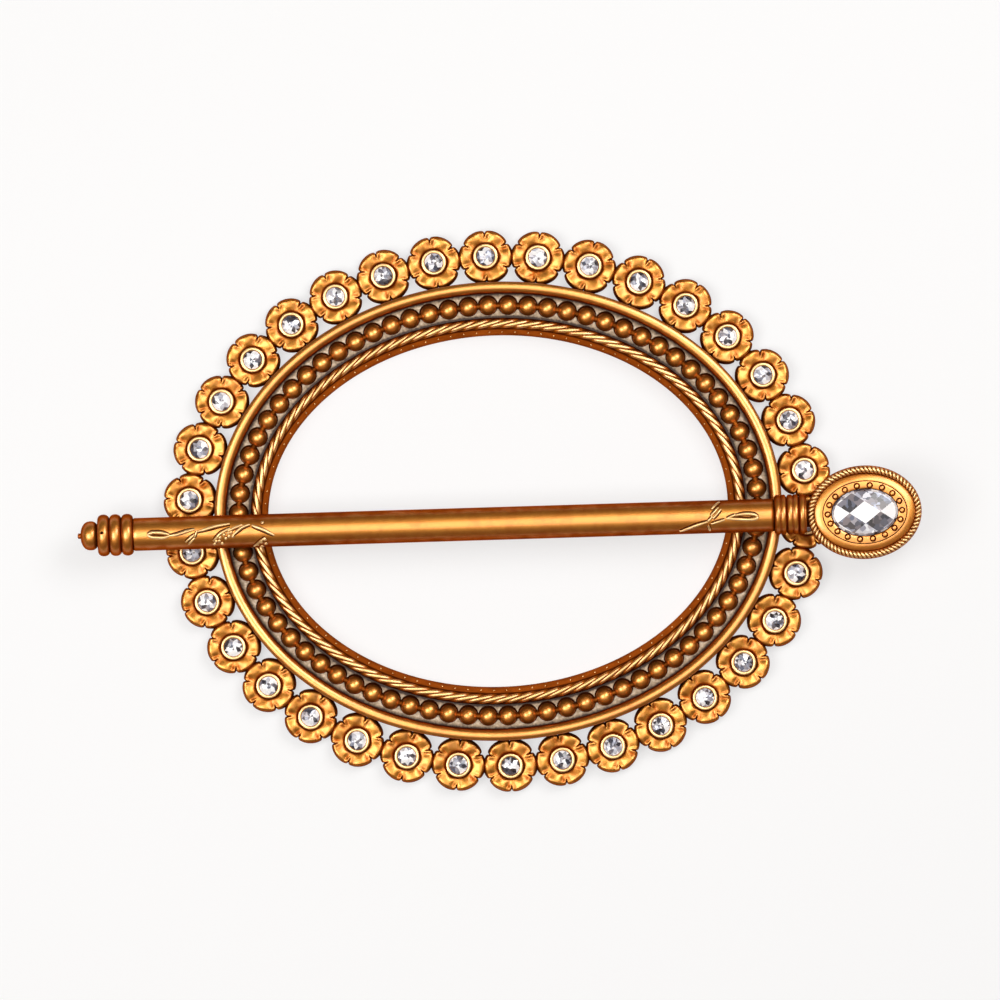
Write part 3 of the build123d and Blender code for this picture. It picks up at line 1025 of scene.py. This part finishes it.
def stem(points, thick, name, lift, flat):
    """A raised line through places along and round the shaft, thinner at both ends."""
    line = bpy.data.curves.new(name, "CURVE")
    line.dimensions = "3D"
    line.bevel_depth = thick * mm
    line.bevel_resolution = 2
    line.use_fill_caps = True
    spline = line.splines.new("NURBS")
    spline.points.add(len(points) - 1)
    for number, (point, (along, across)) in enumerate(zip(spline.points, points)):
        point.co = (along * mm, across * mm, 0, 1)
        point.radius = 0.6 if number in (0, len(points) - 1) else 1.0
    spline.order_u = min(3, len(points))
    spline.use_endpoint_u = True
    spline.resolution_u = 6
    made = bpy.data.objects.new(name, line)
    bpy.context.scene.collection.objects.link(made)
    pick(made)
    bpy.ops.object.convert(target="MESH")
    for vertex in made.data.vertices:
        vertex.co = on_shaft(vertex.co.x / mm, vertex.co.y / mm, lift + vertex.co.z / mm * flat)
    return made


# In each: which way its painted shadow line lies, and how far, then its places along and round the shaft
vine_lines = [
    (0.3, [(-86.3, -0.16), (-85.7, 0.3), (-84.2, 0.32), (-82.5, 0.2), (-81.0, -0.3)]),
    (0.4, [(-86.3, -0.16), (-85.7, -0.75), (-84.0, -0.9), (-82.0, -1.0), (-81.0, -0.62)]),
    (0.3, [(-81.0, -0.52), (-79.3, -0.42), (-78.1, -0.02), (-76.3, 0.47), (-74.7, 0.79)]),
    (0.0, [(-74.2, 0.4), (-74.4, -0.33), (-74.7, -1.07)]),
    (0.35, [(-74.8, -0.44), (-75.9, -1.29), (-77.0, -2.25)]),
    (0.35, [(-74.7, -1.2), (-75.6, -2.11), (-76.3, -2.9)]),
    (-0.35, [(-74.0, 0.25), (-71.6, 0.82), (-69.2, 1.51), (-66.0, 1.95)]),
    (0.3, [(-66.0, 0.77), (-68.0, -0.03), (-69.2, -1.11), (-70.2, -2.24)]),
    (-0.3, [(-66.5, 0.17), (-65.0, 0.87), (-63.0, 1.58)]),
    (-0.35, [(-65.2, -0.73), (-64.0, 0.22), (-62.8, 1.18), (-61.1, 1.57)]),
    (-0.3, [(-60.6, 1.37), (-59.6, 0.9), (-58.4, 0.49), (-56.8, -0.3), (-55.2, -1.17)]),
    (0.3, [(-60.2, -4.43), (-59.0, -2.72), (-57.4, -1.76)]),
    (0.3, [(44.5, -3.65), (47.6, -2.31), (49.4, -1.7), (51.4, -1.11)]),
    (0.3, [(51.4, -1.11), (52.0, -0.45), (52.5, 0.1)]),
    (0.3, [(52.1, 0.18), (52.9, 1.08), (54.1, 2.25)]),
    (-0.35, [(52.7, -0.35), (53.7, 0.55), (54.7, 1.81)]),
    (-0.3, [(52.4, 1.89), (53.5, 3.05), (54.4, 4.04)]),
    (0.25, [(52.3, -1.72), (53.9, -1.19), (55.5, -0.74)]),
    (0.3, [(56.0, -0.53), (57.1, -0.04), (58.1, 0.34)]),
    (0.25, [(58.1, 0.2), (59.8, 0.48), (61.8, 0.46), (63.2, 0.16), (63.8, -0.3)]),
    (0.42, [(56.0, -0.53), (58.1, -0.66), (60.3, -0.88), (62.2, -0.92), (63.5, -0.68), (63.8, -0.3)]),
    (0.2, [(51.5, -2.05), (51.7, -2.97), (51.9, -3.7)]),
]
berries = [
    (-69.5, -2.32), (-68.5, -1.32), (-67.5, -0.66), (-67.1, -1.57), (-66.5, -0.32), (-65.8, -0.17),
    (-65.3, -1.11), (-69.9, -3.09), (-68.0, -3.01), (-68.7, -2.21), (-66.3, -1.08), (-59.4, -3.77),
    (-58.4, -2.91), (-57.5, -2.18), (-58.3, -4.56), (-57.3, -3.48), (-58.0, 1.95),
]
ridge_radius, line_radius, berry_radius, line_shift = 0.4, 0.6, 0.5, 0.4
vine_parts = []
for number, (beside, points) in enumerate(vine_lines):
    ridge = stem(points, ridge_radius, f"vine_ridge_{number}", lift=0.14, flat=1.0)
    ridge.data.materials.append(wear_and_highlight_gold)
    shade_and_patina(ridge, lambda place: 0.0)
    shadow = [(along, across + beside * line_shift) for along, across in points]
    bed = stem(shadow, line_radius, f"vine_line_{number}", lift=0.0, flat=0.14)
    bed.data.materials.append(shaded_gold)
    shade_and_patina(bed, lambda place: 0.75)
    vine_parts += [ridge, bed]
for along, across in berries:
    fresh()
    spot = on_shaft(along, across, 0.0)
    bpy.ops.mesh.primitive_uv_sphere_add(
        segments=12, ring_count=8, radius=berry_radius * mm, location=spot
    )
    berry = named("berry")
    settle(berry)
    berry.data.materials.append(wear_and_highlight_gold)
    # The berries are painted darker at their feet: painted shade
    shade_and_patina(berry, lambda place: 1.0 - step(0.1, 0.32, hypot(place.y, place.z) - shaft_radius))
    vine_parts.append(berry)

# A small dark dimple in the first ring of the finial
fresh()
dimple_along, dimple_reach, dimple_turn, dimple_radius = -97.42, 5.06, 0.12, 0.46
dimple_spot = Vector((dimple_along, dimple_reach * sin(dimple_turn), dimple_reach * cos(dimple_turn))) * mm
bpy.ops.mesh.primitive_uv_sphere_add(
    segments=14, ring_count=8, radius=dimple_radius * mm, location=dimple_spot
)
dimple = named("dimple")
bpy.ops.transform.resize(value=(1, 1, 0.4))
settle(dimple)
dimple.data.materials.append(shaded_gold)
shade_and_patina(dimple, lambda place: 1.0)
vine_parts.append(dimple)
vine = join(vine_parts, "vine")
vine.matrix_world = pin_place
settle(vine)
edit()
close_up()
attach(vine, "root")
smooth(vine, angle=60)


# Floor: pale, and lit up a little for the eye so that the shadow on it stays light
def floor_finish():
    finish, nodes, links, shader = nodes_of("pale_floor")
    shader.inputs["Base Color"].default_value = (0.9, 0.9, 0.9, 1)
    shader.inputs["Roughness"].default_value = 0.8
    ray = nodes.new("ShaderNodeLightPath")
    mirrored = nodes.new("ShaderNodeMath")
    mirrored.operation = "MAXIMUM"
    links.new(ray.outputs["Is Glossy Ray"], mirrored.inputs[0])
    links.new(ray.outputs["Is Transmission Ray"], mirrored.inputs[1])
    seen = nodes.new("ShaderNodeMath")
    seen.operation = "MAXIMUM"
    links.new(ray.outputs["Is Camera Ray"], seen.inputs[0])
    links.new(mirrored.outputs[0], seen.inputs[1])
    share = nodes.new("ShaderNodeMath")
    share.operation = "MULTIPLY"
    share.inputs[1].default_value = 0.65
    links.new(seen.outputs[0], share.inputs[0])
    place = nodes.new("ShaderNodeTexCoord")
    away = nodes.new("ShaderNodeVectorMath")
    away.operation = "LENGTH"
    links.new(place.outputs["Object"], away.inputs[0])
    fade = nodes.new("ShaderNodeMapRange")
    fade.interpolation_type = "SMOOTHSTEP"
    fade.inputs["From Min"].default_value = 0.25
    fade.inputs["From Max"].default_value = 1.4
    fade.inputs["To Min"].default_value = 0.95
    fade.inputs["To Max"].default_value = 0.4
    links.new(away.outputs["Value"], fade.inputs["Value"])
    glow = nodes.new("ShaderNodeEmission")
    links.new(fade.outputs["Result"], glow.inputs["Strength"])
    both = nodes.new("ShaderNodeMixShader")
    links.new(share.outputs[0], both.inputs["Fac"])
    links.new(shader.outputs["BSDF"], both.inputs[1])
    links.new(glow.outputs["Emission"], both.inputs[2])
    links.new(both.outputs["Shader"], nodes["Material Output"].inputs["Surface"])
    return finish


floor_size, floor_drop = 6, 0.05
fresh()
bpy.ops.mesh.primitive_plane_add(size=floor_size, location=(0, 0, -floor_drop * mm))
floor = named("floor")
floor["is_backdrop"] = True
floor.data.materials.append(floor_finish())


# Studio light: two softboxes, a weaker one overhead, and dim walls
def softbox(name, reach, tilt, turn, size, brightness):
    """A square light that looks at the middle from a tilt off straight up, in degrees."""
    data = bpy.data.lights.new(name, "AREA")
    data.shape = "SQUARE"
    data.size = size
    data.energy = brightness * pi * size ** 2
    lamp = bpy.data.objects.new(name, data)
    bpy.context.scene.collection.objects.link(lamp)
    tilt, turn = radians(tilt), radians(turn)
    way = Vector((sin(tilt) * cos(turn), sin(tilt) * sin(turn), cos(tilt)))
    lamp.location = way * reach
    lamp.rotation_mode = "QUATERNION"
    lamp.rotation_quaternion = way.to_track_quat("Z", "Y")
    lamp.visible_camera = False


softbox("right_softbox", reach=0.75, tilt=33, turn=40, size=0.36, brightness=6.6)
softbox("left_softbox", reach=0.75, tilt=29, turn=187, size=0.36, brightness=6.6)
softbox("overhead_softbox", reach=1.3, tilt=0, turn=0, size=1.0, brightness=1.65)

world = bpy.data.worlds.new("studio")
bpy.context.scene.world = world
world.use_nodes = True
air = world.node_tree.nodes
sky = air["Background"]
looking = air.new("ShaderNodeTexCoord")
height = air.new("ShaderNodeSeparateXYZ")
world.node_tree.links.new(looking.outputs["Generated"], height.inputs["Vector"])
wall_greys = ((0.0, 0.16), (0.12, 0.1), (0.35, 0.06), (1.0, 0.12))
warm_green, warm_blue = 0.68, 0.45
walls = ramp(air, [(place, (grey, grey * warm_green, grey * warm_blue)) for place, grey in wall_greys])
world.node_tree.links.new(height.outputs["Z"], walls.inputs["Fac"])
world.node_tree.links.new(walls.outputs["Color"], sky.inputs["Color"])
lower_wall = air.new("ShaderNodeMapRange")
lower_wall.inputs["From Min"].default_value = -1.0
lower_wall.inputs["To Min"].default_value = 1.8
lower_wall.inputs["To Max"].default_value = 0.7
world.node_tree.links.new(height.outputs["Y"], lower_wall.inputs["Value"])
world.node_tree.links.new(lower_wall.outputs["Result"], sky.inputs["Strength"])

bpy.context.scene.view_settings.view_transform = "Standard"

low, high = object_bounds()
